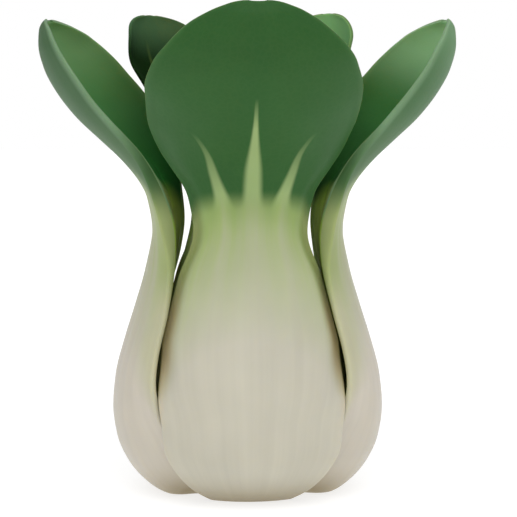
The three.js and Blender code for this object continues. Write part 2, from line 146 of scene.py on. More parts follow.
BUD = [
    [0.0, 7.6, 38.5, 0, 7.2, 72, 3.4, 2.8, 0], [0.1, 10.2, 39.6, 0, 9.7, 72, 3.0, 2.0, 0],
    [0.2, 12.6, 44.0, 0, 12.0, 72, 2.7, 1.6, 0], [0.34, 13.8, 52.0, 0, 13.0, 70, 2.5, 1.4, 0],
    [0.5, 10.8, 59.5, 0, 10.0, 68, 2.2, 1.3, 0], [0.66, 7.2, 66.5, 0, 6.5, 66, 1.8, 1.1, 0],
    [0.8, 4.2, 73.0, 0, 3.7, 62, 1.4, 0.9, 0], [0.92, 2.7, 78.5, 0, 2.0, 50, 1.1, 0.8, 0],
    [1.0, 2.1, 82.0, 0, 0.7, 20, 1.0, 0.8, 0],
]
front_rows = np.array(FRONT_STALK + FRONT_BLADE)
side_rows = np.array(SIDE_STALK + SIDE_BLADE)
middle_rows, inner_rows, heart_rows, bud_rows = (np.array(t) for t in (MIDDLE, INNER, HEART, BUD))
print("stations:", len(front_rows), len(middle_rows), len(inner_rows), len(heart_rows), len(bud_rows))

# %% [markdown]
# ## The leaves of this head
# One line for each leaf: its table, where it stands round the head (0 faces the front, 90 the
# right), and how it differs from its ring. Two real leaves are never the same, so the blades spread,
# rise, twist and ripple a little differently. "rows" and "columns" say how fine its grid is.

# %% The list of leaves
OUTER_RING = {"neck": 0.515, "rows": 110, "columns": 44, "kind": "outer"}
FACING = {**OUTER_RING, "table": front_rows, "fold": (0.62, 0.97)}
SIDE = {**OUTER_RING, "table": side_rows, "kind": "side"}
MIDDLE_RING = {"table": middle_rows, "neck": 0.55, "rows": 84, "columns": 32, "ripple": 0.6,
               "kind": "middle"}
LEAVES = {
    "outer_leaf_front": {**FACING, "azimuth": 3, "rise": 1.01, "ripple": 0.2},
    "outer_leaf_right": {**SIDE, "azimuth": 91.9, "turn": 11.4, "twist": 0.06, "rise": 0.99,
                         "ripple": 0.12, "kind": "painted_lit_side"},
    "outer_leaf_back": {**FACING, "azimuth": 182.5, "breadth": 0.77, "ripple": 0.7},
    "outer_leaf_left": {**SIDE, "azimuth": -86.2, "turn": -16.1, "twist": 0.15, "rise": 0.988,
                        "ripple": 0.12},
    "middle_leaf_back_left": {**MIDDLE_RING, "azimuth": -137, "rise": 1.01, "spread": 0.96,
                              "kind": "shaded"},
    "middle_leaf_back_right": {**MIDDLE_RING, "azimuth": 140, "rise": 1.017, "spread": 0.74,
                               "breadth": 0.96},
    "middle_leaf_front_left": {**MIDDLE_RING, "azimuth": -46, "rise": 0.55, "spread": 0.34,
                               "breadth": 0.72},
    "middle_leaf_front_right": {**MIDDLE_RING, "azimuth": 47, "rise": 0.5, "spread": 0.32,
                                "breadth": 0.72},
}
for number, azimuth in enumerate([6, 97, 185, -84]):
    LEAVES[f"inner_leaf_{number + 1}"] = {
        "table": inner_rows, "azimuth": azimuth, "neck": 0.64, "rows": 56, "columns": 22,
        "ripple": 0.3, "rise": 1 - 0.06 * number, "kind": "inner"}
for number, azimuth in enumerate([40, 160, 280]):
    LEAVES[f"heart_leaf_{number + 1}"] = {
        "table": heart_rows, "azimuth": azimuth, "neck": 0.72, "rows": 44, "columns": 20,
        "rise": 1 - 0.08 * number, "kind": "heart"}
for number, azimuth in enumerate([10, 190]):
    LEAVES[f"bud_leaf_{number + 1}"] = {
        "table": bud_rows, "azimuth": azimuth, "neck": 0.8, "rows": 36, "columns": 18,
        "rise": 1 - 0.1 * number, "kind": "heart"}
print(len(LEAVES), "leaves")

# %% [markdown]
# ## Points on the outer face
# The outer face is a bent sheet. A point on it is found from two numbers: "at", how far along the
# leaf, and "u", how far across it, -1 at one margin and 1 at the other.

# %% The bent sheet
def station(leaf, column, at):
    """A station value, with the leaf's own spread, rise and breadth beyond its neck."""
    rows, neck = leaf["table"], leaf["neck"]
    value = between(rows, column, at)
    for own, which in ((RADIUS, "spread"), (HEIGHT, "rise")):
        if column == own:
            at_neck = between(rows, column, neck)
            value = np.where(at > neck, at_neck + (value - at_neck) * leaf.get(which, 1), value)
    if column == HALF:
        value = value * (1 + (leaf.get("breadth", 1) - 1) * ease(at, neck, neck + 0.15))
    return value


def face_point(leaf, at, u):
    """Points of the bare outer face, in millimetres."""
    lean, wrap = np.radians(station(leaf, LEAN, at)), np.radians(station(leaf, WRAP, at))
    arc = station(leaf, HALF, at) / np.sin(wrap)
    deep = arc * (1 - np.cos(u * wrap))
    out = station(leaf, RADIUS, at) - deep * np.cos(lean)
    aside = arc * np.sin(u * wrap)
    up = station(leaf, HEIGHT, at) + deep * np.sin(lean)
    turned = ease(at, leaf["neck"] - leaf.get("twist", 0.1), leaf["neck"] + 0.2)
    turn = np.radians(leaf.get("turn", 0)) * turned
    turn = turn + math.radians(leaf["azimuth"] - 90)
    return np.stack([out * np.cos(turn) - aside * np.sin(turn),
                     out * np.sin(turn) + aside * np.cos(turn), up], axis=-1)


def inward(leaf, at, u):
    """The direction into the leaf, square to its outer face."""
    along = (face_point(leaf, np.minimum(at + 0.004, 1), u)
             - face_point(leaf, np.maximum(at - 0.004, 0), u))
    across = face_point(leaf, at, u + 0.01) - face_point(leaf, at, u - 0.01)
    square = np.cross(along, across)
    return square / np.linalg.norm(square, axis=-1, keepdims=True)


# %% [markdown]
# ## Flesh, ribs and ripples
# The stalk is thick in the middle and thin at its margins. The blade is a thin sheet with a midrib.
# Fine ribs run up the stalk, and three veins fan out into the blade. They are real relief here, a
# few tenths of a millimetre high, because a bump map alone would be lost in the meshes.

# %% How thick, and how far in or out
RIPPLES = 3.5  # waves along each margin of a blade
RIB_HEIGHT, RIB_SPACING = 0.07, 5.2  # fine ribs of the stalk, millimetres
BROAD_RIB_HEIGHT, VEIN_HEIGHT = 0.32, 0.35
VEIN_LANE = 0.375  # where a side vein leaves the stalk, as u
VEIN_SWING, SWING_START = 24.0, 0.62  # how strongly it curves outwards, and from which place on
BLADE_REACH = 0.16  # how far past the neck the flesh has thinned to a blade
MARGIN_POWER, MIDRIB_WIDTH = 2.6, 0.11  # how late a stalk thins towards its margins; the midrib, as u


def side_vein(at):
    """Where the vein on either side of the midrib lies, as u."""
    return VEIN_LANE + VEIN_SWING * np.maximum(at - SWING_START, 0) ** 2


def flesh(leaf, at, u):
    """The thickness, and how far the outer face is moved in from the bare sheet."""
    blade = ease(at, leaf["neck"], leaf["neck"] + BLADE_REACH)
    side = np.minimum(np.abs(u), 1)
    body = (1 - blade) * (1 - side**MARGIN_POWER) + blade * np.exp(-((u / MIDRIB_WIDTH) ** 2))
    thin, full = station(leaf, EDGE, at), station(leaf, THICK, at)
    thick = thin + (full - thin) * body
    wave = (leaf.get("ripple", 0) * ease(at, leaf["neck"], leaf["neck"] + 0.2)
            * (1 - ease(at, 0.9, 1)) * side**3
            * np.sin(2 * math.pi * RIPPLES * (at - leaf["neck"]) / (1 - leaf["neck"]) + 2 * u))
    start, end = leaf.get("fold", (0.5, 0.88))  # where a tuck begins and where it is complete
    shift = station(leaf, TUCK, at) * ease(side, start, end) + wave - 0.4 * blade * (thick - thin)
    return thick, shift


def relief(leaf, at, u):
    """Ribs of the stalk and veins of the blade, standing out from the outer face."""
    standard = standard_place(leaf, at)
    span = station(leaf, HALF, at)
    stalk = ease(standard, 0.16, 0.34) * (1 - ease(standard, 0.54, 0.62)) * (1 - ease(np.abs(u), 0.7, 0.9))
    ribs = RIB_HEIGHT * stalk * np.cos(2 * math.pi * u * span / RIB_SPACING)
    # three broad ribs carry the veins down into the stalk
    under_veins = np.exp(-((u / 0.13) ** 2)) + np.exp(-(((np.abs(u) - VEIN_LANE) / 0.1) ** 2))
    broad = ease(standard, 0.26, 0.5) * (1 - ease(standard, 0.56, 0.66)) * under_veins
    ribs = ribs + BROAD_RIB_HEIGHT * broad
    reach = np.clip((0.7 - standard) / 0.12, 0, 1) * ease(standard, 0.5, 0.58)
    veins = VEIN_HEIGHT * reach * np.exp(-(((np.abs(u) - side_vein(standard)) / 0.06) ** 2))
    return (ribs + veins) * (0.4 if leaf["kind"] in ("inner", "heart") else 1)


# %% [markdown]
# ## One address for every finish
# All leaves share their patterns: cream foot, green neck, dark blade. The rings have their necks at
# different places along the table, so each point gets a standard place in which the neck is always
# at 0.515. It is stored with u as the leaf's own UV map, and the materials read only that.

# %% Standard places and the grid's spacing
STANDARD_NECK = 0.515


def standard_place(leaf, at):
    """at, stretched so that the neck lies at STANDARD_NECK on every leaf."""
    neck = leaf["neck"]
    return np.where(at < neck, at * STANDARD_NECK / neck,
                    1 - (1 - at) * (1 - STANDARD_NECK) / (1 - neck))


def crowded(x):
    """Rows of a grid, crowded where the foot curls under and where the tip rounds off."""
    return x - 0.35 * np.sin(2 * math.pi * x) / (2 * math.pi)


# %% [markdown]
# ## Growing a leaf
# The grid is a primitive. Its points are moved onto the sheet, a vertex group holds how thick the
# leaf is at each point, Solidify gives it the inner face and the rim, and a Subdivision Surface
# rounds the rim into a soft margin. Solidify by vertex group is the plain way to make a sheet whose
# thickness varies, and it keeps the UV map on both faces.

# %% The grower
def deselect_all():
    if bpy.context.object and bpy.context.object.mode != "OBJECT":
        bpy.ops.object.mode_set(mode="OBJECT")
    bpy.ops.object.select_all(action="DESELECT")


def shape_grid(leaf, x, y):
    """Where each point of the flat grid goes, in millimetres, its thickness, and its address."""
    at = crowded((y + 1) / 2)
    wrap = np.radians(station(leaf, WRAP, at))
    reach = station(leaf, HALF, at) / np.sin(wrap) * wrap  # half the sheet's width round its arc
    margin = np.minimum(0.42 * station(leaf, EDGE, at), 1.3)  # what the rounded margin adds
    u = x * (1 + margin / reach)
    thick, shift = flesh(leaf, at, np.clip(u, -1, 1))
    bare = face_point(leaf, at, u)
    points = bare + inward(leaf, at, u) * (shift - relief(leaf, at, u))[:, None]
    return points, thick, np.stack([(x + 1) / 2, standard_place(leaf, at)], axis=-1)


def grow_leaf(node, leaf, materials):
    """One finished leaf: grid, bend, thicken, round off."""
    deselect_all()
    bpy.ops.mesh.primitive_grid_add(x_subdivisions=leaf["columns"], y_subdivisions=leaf["rows"], size=2)
    piece = bpy.context.object
    piece.name = piece.data.name = "grown_" + node
    mesh = piece.data
    flat = np.empty(len(mesh.vertices) * 3)
    mesh.vertices.foreach_get("co", flat)
    flat = flat.reshape(-1, 3)
    points, thick, address = shape_grid(leaf, flat[:, 0], flat[:, 1])
    mesh.vertices.foreach_set("co", (points * MM).ravel())
    corners = np.empty(len(mesh.loops), dtype=int)
    mesh.loops.foreach_get("vertex_index", corners)
    mesh.uv_layers[0].name = "leaf"
    mesh.uv_layers[0].data.foreach_set("uv", address[corners].ravel())
    group = piece.vertex_groups.new(name="flesh")
    thickest = float(thick.max())
    for index, value in enumerate(thick / thickest):
        group.add([index], float(value), "REPLACE")
    for material in materials:
        mesh.materials.append(material)
    solid = piece.modifiers.new("Flesh", "SOLIDIFY")
    solid.thickness, solid.offset, solid.vertex_group = thickest * MM, -1, group.name
    solid.material_offset, solid.use_quality_normals = 1, True
    bpy.ops.object.modifier_apply(modifier=solid.name)
    rounding = piece.modifiers.new("Rounding", "SUBSURF")
    rounding.levels = rounding.render_levels = 1
    bpy.ops.object.modifier_apply(modifier=rounding.name)
    bpy.ops.object.shade_smooth()
    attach(piece, "root")
    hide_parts(node)
    return piece


# %% [markdown]
# ## Helpers for the finishes
# Shader nodes are many small sums. Two helpers keep them readable: one adds any node and links or
# sets its inputs, the other is a Math node.

# %% Node helpers
def add_node(tree, kind, inputs, output=0, **settings):
    """Adds a node, sets or links its inputs, and returns one of its outputs."""
    new = tree.nodes.new(kind)
    for name, value in settings.items():
        setattr(new, name, value)
    for key, value in inputs.items():
        if isinstance(value, bpy.types.NodeSocket):
            tree.links.new(value, new.inputs[key])
        else:
            new.inputs[key].default_value = value
    return new.outputs[output]


def maths(tree, operation, *values):
    return add_node(tree, "ShaderNodeMath", dict(enumerate(values)), operation=operation)


def ramp(tree, value, start, end, low=0.0, high=1.0):
    """A smooth S from low at start to high at end."""
    return add_node(tree, "ShaderNodeMapRange", {0: value, 1: start, 2: end, 3: low, 4: high},
                    interpolation_type="SMOOTHSTEP")


def blend_colours(tree, factor, a, b, kind="MIX"):
    return add_node(tree, "ShaderNodeMix", {0: factor, 6: a, 7: b}, output=2,
                    data_type="RGBA", blend_type=kind)


def colour(red, green, blue):
    """A colour-picker colour, 0 to 255, as the linear colour that Blender's sockets hold."""
    def linear(c):
        c /= 255
        return c / 12.92 if c <= 0.04045 else ((c + 0.055) / 1.055) ** 2.4
    return (linear(red), linear(green), linear(blue), 1)


def new_group(name, inputs, outputs):
    """An empty node group with named sockets; returns it with its input and output nodes."""
    group = bpy.data.node_groups.new(name, "ShaderNodeTree")
    for label, kind, default in inputs:
        entry = group.interface.new_socket(label, in_out="INPUT", socket_type=kind)
        if default is not None:
            entry.default_value = default
    for label, kind in outputs:
        group.interface.new_socket(label, in_out="OUTPUT", socket_type=kind)
    return group, group.nodes.new("NodeGroupInput").outputs, group.nodes.new("NodeGroupOutput").inputs


# %% [markdown]
# ## Zones of a leaf
# The green does not end in a straight line. It runs down in soft lobes between the midrib and the
# two side veins, and the veins reach up into it as pale spikes. This group turns the leaf's address
# into masks for that: the blade, the greening of the stalk below it, and the veins.

# %% The zones group
BORDER = 0.572  # where the green begins, in standard places
# usual pattern of a leaf: where the border lies and how soft it is; where the side veins start, how
# far they reach, how slim they end and how strongly they curve; how pale the stalk is under the veins
PATTERN = {"border": BORDER, "soft": 0.022, "lane": VEIN_LANE, "reach": 0.695, "slim": 0.022,
           "swing": VEIN_SWING, "contrast": 0.6}


def vein_mask(tree, offset, along, width, slim, tip, taper, foot, fade):
    """A spike: widest at foot, slim and fading towards its tip."""
    left = maths(tree, "DIVIDE", maths(tree, "SUBTRACT", tip, along), maths(tree, "SUBTRACT", tip, foot))
    left = maths(tree, "MINIMUM", maths(tree, "MAXIMUM", left, 0.0), 1.2)
    half = maths(tree, "MULTIPLY_ADD", maths(tree, "POWER", left, taper), width, slim)
    inner = maths(tree, "MULTIPLY", half, 0.45)
    outer = maths(tree, "MULTIPLY_ADD", half, 1.2, 0.006)
    inside = add_node(tree, "ShaderNodeMapRange", {0: offset, 1: inner, 2: outer, 3: 1.0, 4: 0.0},
                      interpolation_type="SMOOTHSTEP")
    strength = add_node(tree, "ShaderNodeMapRange", {0: left, 1: 0.0, 2: fade, 3: 0.0, 4: 1.0})
    return maths(tree, "MULTIPLY", inside, strength)


def leaf_zones():
    tree, given, result = new_group(
        "Leaf zones",
        [("Address", "NodeSocketVector", None), ("Greening", "NodeSocketFloat", 0.3)]
        + [(key.title(), "NodeSocketFloat", usual) for key, usual in PATTERN.items()],
        [("Blade", "NodeSocketFloat"), ("Painted rim highlight", "NodeSocketFloat"), ("Green", "NodeSocketFloat"),
         ("Shoulder", "NodeSocketFloat"), ("Vein", "NodeSocketFloat"), ("Crease shade", "NodeSocketFloat"),
         ("Along", "NodeSocketFloat")])
    split = tree.nodes.new("ShaderNodeSeparateXYZ")
    tree.links.new(given["Address"], split.inputs[0])
    along = split.outputs[1]
    across = maths(tree, "MULTIPLY_ADD", split.outputs[0], 2.0, -1.0)
    side = maths(tree, "ABSOLUTE", across)
    # the border bends down towards the margins
    sag = maths(tree, "MULTIPLY", maths(tree, "POWER", side, 3.0), 0.04)
    border = maths(tree, "SUBTRACT", given["Border"], sag)
    past = maths(tree, "SUBTRACT", along, border)
    blade = ramp(tree, maths(tree, "DIVIDE", past, given["Soft"]), -1.0, 1.0)
    midrib = vein_mask(tree, side, along, 0.115, 0.012, 0.795, 2.1, BORDER, 0.3)
    # the side veins rise at Lane and curve outwards by Swing
    bend = maths(tree, "POWER",
                 maths(tree, "MAXIMUM", maths(tree, "SUBTRACT", along, SWING_START), 0.0), 2.0)
    lane = maths(tree, "MULTIPLY_ADD", bend, given["Swing"], given["Lane"])
    beside = maths(tree, "ABSOLUTE", maths(tree, "SUBTRACT", side, lane))
    branch = vein_mask(tree, beside, along, 0.09, given["Slim"], given["Reach"], 2.6, BORDER, 0.9)
    vein = maths(tree, "MAXIMUM", midrib, branch)
    # the stalk greens towards the neck, a little sooner at its sides, and deepest between the veins
    sooner = maths(tree, "MULTIPLY_ADD", maths(tree, "POWER", side, 2.0), 0.12, along)
    green = add_node(tree, "ShaderNodeMapRange",
                     {0: sooner, 1: given["Greening"], 2: 0.58, 3: 0.0, 4: 1.0})
    under_midrib = ramp(tree, side, 0.04, 0.26, 1.0, 0.0)
    under_branch = ramp(tree, maths(tree, "ABSOLUTE", maths(tree, "SUBTRACT", side, given["Lane"])),
                        0.0, 0.16, 1.0, 0.0)
    under = maths(tree, "MAXIMUM", under_midrib, under_branch)
    paler = maths(tree, "MULTIPLY", under, given["Contrast"])
    green = maths(tree, "MULTIPLY", green, maths(tree, "MULTIPLY_ADD", paler, -0.38, 1.0))
    shoulder = maths(tree, "MULTIPLY", ramp(tree, past, -0.07, 0.0),
                     maths(tree, "SUBTRACT", 1.0, paler))
    # the stalk's margins, where each meets the next leaf in a crease: the mask for the painted crease
    # shade
    lower = ramp(tree, along, 0.23, 0.34, 0.22, 0.0)
    crease_shade = maths(tree, "MULTIPLY", ramp(tree, maths(tree, "SUBTRACT", side, lower), 0.66, 0.92),
                  ramp(tree, along, 0.2, 0.24))
    # a thin band round the blade's margin: the mask for a painted highlight of the rounded margin
    rim = maths(tree, "MULTIPLY", ramp(tree, side, 0.9, 0.995), ramp(tree, along, 0.6, 0.7))
    for name, value in (("Blade", blade), ("Painted rim highlight", rim), ("Green", green), ("Shoulder", shoulder),
                        ("Vein", vein), ("Crease shade", crease_shade), ("Along", along)):
        tree.links.new(value, result[name])
    return tree


zones_group = leaf_zones()
print("group:", zones_group.name)

# %% [markdown]
# ## Fibres and cells
# Close up, the stalk shows long fibres and the blade a fine net of veins between soft cells. The
# first is noise drawn out along the leaf, the second the edges of a Voronoi pattern. Both are made
# in the leaf's own address, stretched to millimetres, so they bend with the leaf.

# %% The fibre and net group
LEAF_WIDTH, LEAF_LENGTH = 62.0, 175.0  # what one unit of the address is worth, in millimetres


def leaf_grain():
    tree, given, result = new_group(
        "Leaf grain",
        [("Address", "NodeSocketVector", None), ("Offset", "NodeSocketFloat", 0.0)],
        [("Fibre", "NodeSocketFloat"), ("Net", "NodeSocketFloat"), ("Mottle", "NodeSocketFloat")])
    size = add_node(tree, "ShaderNodeVectorMath", {0: given["Address"], 1: (LEAF_WIDTH, LEAF_LENGTH, 1)},
                    operation="MULTIPLY")
    own = add_node(tree, "ShaderNodeCombineXYZ", {2: given["Offset"]})
    place = add_node(tree, "ShaderNodeVectorMath", {0: size, 1: own}, operation="ADD")
    drawn_out = add_node(tree, "ShaderNodeVectorMath", {0: place, 1: (1, 0.02, 1)}, operation="MULTIPLY")
    fibre = add_node(tree, "ShaderNodeTexNoise",
                     {"Vector": drawn_out, "Scale": 0.3, "Detail": 3.0, "Roughness": 0.55})
    mottle = add_node(tree, "ShaderNodeTexNoise", {"Vector": place, "Scale": 0.06, "Detail": 2.0})
    edge = add_node(tree, "ShaderNodeTexVoronoi", {"Vector": place, "Scale": 0.5},
                    feature="DISTANCE_TO_EDGE")
    net = ramp(tree, edge, 0.0, 0.2, 1.0, 0.0)
    tree.links.new(fibre, result["Fibre"])
    tree.links.new(net, result["Net"])
    tree.links.new(mottle, result["Mottle"])
    return tree


grain_group = leaf_grain()
print("group:", grain_group.name)

# %% [markdown]
# ## The finish of a leaf
# One recipe serves every ring: cream flesh, yellow-green neck, deep blade, pale veins. The rings
# differ in their colours, so each gets a material of its own, one for the outside and one for the
# inside, which is greener. The right outer leaf gets a lighter copy of the side leaves' finishes, painted
# light, and the back-left middle leaf a darker copy of the middle inside, painted shade. A little
# subsurface light makes the flesh look moist and full, not painted. The waxy skin is a fairly rough
# Principled surface.

# %% The leaf recipe
# flesh, foot and neck are the stalk from the middle down and up; the foot is browner and darker towards
# the ground, partly its own brown and partly painted shade near the floor; shoulder lies just under the
# blade; crease_shade and edge are the stalk's margins, low down and near the neck, where they meet the
# next leaf in a crease, and are painted crease shade, warm low down and olive near the neck; deep, blade
# and tip follow each other up the blade, and turn is where the tip's colour begins: partly the leaf's own
# tone and partly painted light and shade, dark deep in the head and light near the top on the insides;
# painted_rim_highlight_tint and rim are the colour and strength of the line round the blade, a painted
# highlight of the rounded margin; greening is where the stalk begins to turn green.
SIDE_LEAF = {  # what the outsides of both side leaves share
    "flesh": colour(198, 191, 177), "foot": colour(140, 126, 94), "neck": colour(160, 172, 120),
    "shoulder": colour(148, 166, 106), "crease_shade": colour(186, 184, 154), "edge": colour(156, 168, 112),
    "painted_rim_highlight_tint": colour(128, 158, 126), "rim": 0.6, "greening": 0.33, "contrast": 0.3,
    "border": 0.6, "soft": 0.04}
SIDE_LEAF_INSIDE = {  # and their insides, where the outer veins lie right on the margins as a pale line: partly pale flesh running up the margin, partly a painted highlight of the rounded margin
    "flesh": colour(204, 206, 164), "foot": colour(190, 184, 140), "neck": colour(186, 204, 100),
    "shoulder": colour(142, 172, 66), "crease_shade": colour(190, 204, 104), "vein": colour(120, 150, 108),
    "greening": 0.24, "lane": 1.0, "reach": 0.7, "slim": 0.015, "swing": 0.0}
FINISHES = {
    "outer outside": {
        "flesh": colour(193, 189, 173), "foot": colour(136, 122, 90), "neck": colour(157, 176, 108),
        "shoulder": colour(141, 163, 99), "crease_shade": colour(196, 174, 140), "edge": colour(138, 146, 92),
        "deep": colour(49, 93, 44), "blade": colour(48, 93, 44), "tip": colour(42, 86, 39),
        "vein": colour(152, 174, 116),
        "painted_rim_highlight_tint": colour(92, 132, 86), "rim": 0.15, "greening": 0.35, "contrast": 0.5},
    "side outside": {
        **SIDE_LEAF, "deep": colour(70, 104, 62), "blade": colour(62, 98, 60),
        "tip": colour(58, 92, 56), "vein": colour(140, 166, 128)},
    "outer inside": {
        "flesh": colour(204, 206, 164), "foot": colour(190, 184, 140), "neck": colour(180, 200, 100),
        "shoulder": colour(134, 166, 64), "crease_shade": colour(186, 200, 104), "deep": colour(26, 70, 24),
        "blade": colour(66, 118, 62), "tip": colour(104, 150, 98), "vein": colour(140, 168, 110),
        "greening": 0.24},
    "side inside": {
        **SIDE_LEAF_INSIDE, "deep": colour(34, 102, 36), "blade": colour(68, 120, 66),
        "tip": colour(120, 166, 114)},
    "middle outside": {
        "flesh": colour(200, 200, 160), "foot": colour(190, 184, 144), "neck": colour(120, 146, 66),
        "shoulder": colour(86, 120, 46), "crease_shade": colour(110, 124, 54), "deep": colour(44, 90, 40),
        "blade": colour(48, 94, 44), "tip": colour(56, 98, 52), "vein": colour(146, 172, 104),
        "greening": 0.22},
    "middle inside": {
        "flesh": colour(196, 200, 150), "foot": colour(190, 186, 140), "neck": colour(120, 150, 70),
        "shoulder": colour(84, 120, 46), "crease_shade": colour(110, 124, 54), "deep": colour(30, 74, 28),
        "blade": colour(54, 100, 48), "tip": colour(112, 160, 106), "vein": colour(140, 168, 90),
        "greening": 0.2},
    # a darker copy of the middle leaf's inside, on both faces of the back-left middle leaf: painted shade
    # where the front leaf's shadow falls, lighter only at its tip
    "shaded inside": {
        "flesh": colour(190, 196, 140), "foot": colour(184, 180, 134), "neck": colour(110, 140, 60),
        "shoulder": colour(60, 94, 34), "crease_shade": colour(90, 104, 44), "deep": colour(6, 36, 4),
        "blade": colour(7, 33, 4), "tip": colour(60, 92, 60), "turn": 0.86, "vein": colour(118, 142, 70),
        "greening": 0.2, "lane": 0.28, "reach": 0.93, "slim": 0.035, "swing": 0.0, "rim": 0.0},
    # a lighter copy of the side leaves' finishes for the right outer leaf: painted light, the leaf drawn
    # brighter than its twin on the left, most of all towards its tip inside
    "fresh outside": {
        **SIDE_LEAF, "deep": colour(70, 106, 62), "blade": colour(68, 108, 65),
        "tip": colour(100, 138, 98), "vein": colour(146, 172, 132)},
    "fresh inside": {
        **SIDE_LEAF_INSIDE, "deep": colour(28, 76, 26), "blade": colour(54, 106, 53),
        "tip": colour(158, 206, 158)},
    "heart outside": {
        "flesh": colour(206, 206, 160), "foot": colour(200, 196, 150), "neck": colour(164, 186, 92),
        "shoulder": colour(140, 172, 76), "crease_shade": colour(166, 180, 96), "deep": colour(112, 156, 62),
        "blade": colour(118, 160, 64), "tip": colour(126, 166, 72), "vein": colour(190, 204, 136),
        "greening": 0.1},
    "heart inside": {
        "flesh": colour(208, 208, 162), "foot": colour(202, 198, 152), "neck": colour(170, 192, 98),
        "shoulder": colour(150, 180, 84), "crease_shade": colour(172, 184, 102), "deep": colour(122, 164, 68),
        "blade": colour(128, 168, 72), "tip": colour(136, 174, 80), "vein": colour(194, 206, 142),
        "greening": 0.1},
}


def use_group(tree, group, inputs):
    """Places a node group and returns its outputs."""
    new = tree.nodes.new("ShaderNodeGroup")
    new.node_tree = group
    for key, value in inputs.items():
        if isinstance(value, bpy.types.NodeSocket):
            tree.links.new(value, new.inputs[key])
        else:
            new.inputs[key].default_value = value
    return new.outputs


def leaf_finish(name, finish, number):
    """The material of one face of a leaf; number gives it fibres and cells of its own."""
    material = bpy.data.materials.new(name)
    material.use_nodes = True
    tree = material.node_tree
    shader = tree.nodes["Principled BSDF"]
    address = add_node(tree, "ShaderNodeUVMap", {}, uv_map="leaf")
    pattern = {key.title(): finish.get(key, usual) for key, usual in PATTERN.items()}
    zones = use_group(tree, zones_group,
                      {"Address": address, "Greening": finish["greening"], **pattern})
    grain = use_group(tree, grain_group, {"Address": address, "Offset": 40.0 * number})
    # stalk: browner, darker foot (partly its own brown, partly painted shade near the floor), cream flesh,
    # green neck, streaked by its fibres
    foot_brown_and_painted_shade = blend_colours(tree, ramp(tree, zones["Along"], 0.03, 0.14), finish["foot"], finish["flesh"])
    streaks = maths(tree, "MULTIPLY_ADD", grain["Fibre"], 1.1, -0.55)
    greening = maths(tree, "ADD", zones["Green"], maths(tree, "MULTIPLY", streaks, zones["Green"]))
    stalk = blend_colours(tree, greening, foot_brown_and_painted_shade, finish["neck"])
    shouldered = blend_colours(tree, zones["Shoulder"], stalk, finish["shoulder"])
    # the margins in the creases get painted crease shade: a warm tint low down, olive near the neck
    edge = finish.get("edge", finish["shoulder"])
    crease_shade = blend_colours(tree, ramp(tree, zones["Along"], 0.38, 0.47), finish["crease_shade"], edge)
    with_crease_shade = blend_colours(tree, maths(tree, "MULTIPLY", zones["Crease shade"], 0.8), shouldered, crease_shade)
    # blade: from the deep green of its base to its tip, partly its own tone and partly painted shade deep
    # in the head and painted light near the top, with a faint net, and the pale veins
    lower = blend_colours(tree, ramp(tree, zones["Along"], 0.58, 0.78), finish["deep"], finish["blade"])
    blade_tone_and_painted_light = blend_colours(tree, ramp(tree, zones["Along"], finish.get("turn", 0.76), 0.97), lower,
                          finish["tip"])
    blade = blend_colours(tree, maths(tree, "MULTIPLY", grain["Net"], 0.012), blade_tone_and_painted_light, finish["vein"])
    # a lighter line round the blade: painted highlight of the rounded margin
    with_painted_rim_highlight = blend_colours(tree, maths(tree, "MULTIPLY", zones["Painted rim highlight"], finish.get("rim", 0.25)), blade,
                           finish.get("painted_rim_highlight_tint", finish["vein"]))
    veined = blend_colours(tree, zones["Vein"], with_painted_rim_highlight, finish["vein"])
    body = blend_colours(tree, zones["Blade"], with_crease_shade, veined)
    mottled = maths(tree, "MULTIPLY_ADD", grain["Mottle"], 0.14, 0.93)
    stalk_only = maths(tree, "SUBTRACT", 1.0, zones["Blade"])
    shade = maths(tree, "MULTIPLY_ADD", maths(tree, "MULTIPLY", streaks, stalk_only), 0.16, mottled)
    toned = blend_colours(tree, 1.0, body, add_node(tree, "ShaderNodeCombineColor",
                                                    {0: shade, 1: shade, 2: shade}), "MULTIPLY")
    tree.links.new(toned, shader.inputs["Base Color"])
    inner_face = "inside" in name
    rough = maths(tree, "MULTIPLY_ADD", grain["Fibre"], 0.12, 0.58 if inner_face else 0.36)
    tree.links.new(maths(tree, "MULTIPLY_ADD", zones["Blade"], 0.08, rough), shader.inputs["Roughness"])
    height = maths(tree, "MULTIPLY_ADD", grain["Net"], maths(tree, "MULTIPLY", zones["Blade"], -0.15),
                   grain["Fibre"])
    bump = add_node(tree, "ShaderNodeBump", {"Height": height, "Strength": 0.12, "Distance": 0.0003})
    tree.links.new(bump, shader.inputs["Normal"])
    shader.inputs["Specular IOR Level"].default_value = 0.04 if inner_face else 0.13
    shader.inputs["Subsurface Weight"].default_value = 0.35
    shader.inputs["Subsurface Radius"].default_value = (1.0, 0.8, 0.45)
    shader.inputs["Subsurface Scale"].default_value = 0.005
    return material


finishes = {name: leaf_finish(name.replace(" ", "_"), values, number)
            for number, (name, values) in enumerate(FINISHES.items())}
print("finishes:", ", ".join(finishes))

# %% [markdown]
# ## The rings of leaves
# With the grower and the finishes ready, the head is put together ring by ring.

# %% Growing the head
KINDS = {  # kind: outside finish, inside finish, slot
    "outer": ("outer outside", "outer inside", "outer_leaf"),
    "side": ("side outside", "side inside", "outer_leaf"),
    "painted_lit_side": ("fresh outside", "fresh inside", "outer_leaf"),
    "middle": ("middle outside", "middle inside", "middle_leaf"),
    "shaded": ("shaded inside", "shaded inside", "middle_leaf"),
    "inner": ("heart outside", "heart inside", "heart_leaf"),
    "heart": ("heart outside", "heart inside", "heart_leaf"),
}
triangles = 0
for node, leaf in LEAVES.items():
    outside, inside, slot = KINDS[leaf["kind"]]
    piece = grow_leaf(node, leaf, (finishes[outside], finishes[inside]))
    count = sum(len(p.vertices) - 2 for p in piece.data.polygons)
    triangles += count
    print(f"{piece.name}: {count} triangles")
print("leaves in all:", triangles, "triangles")

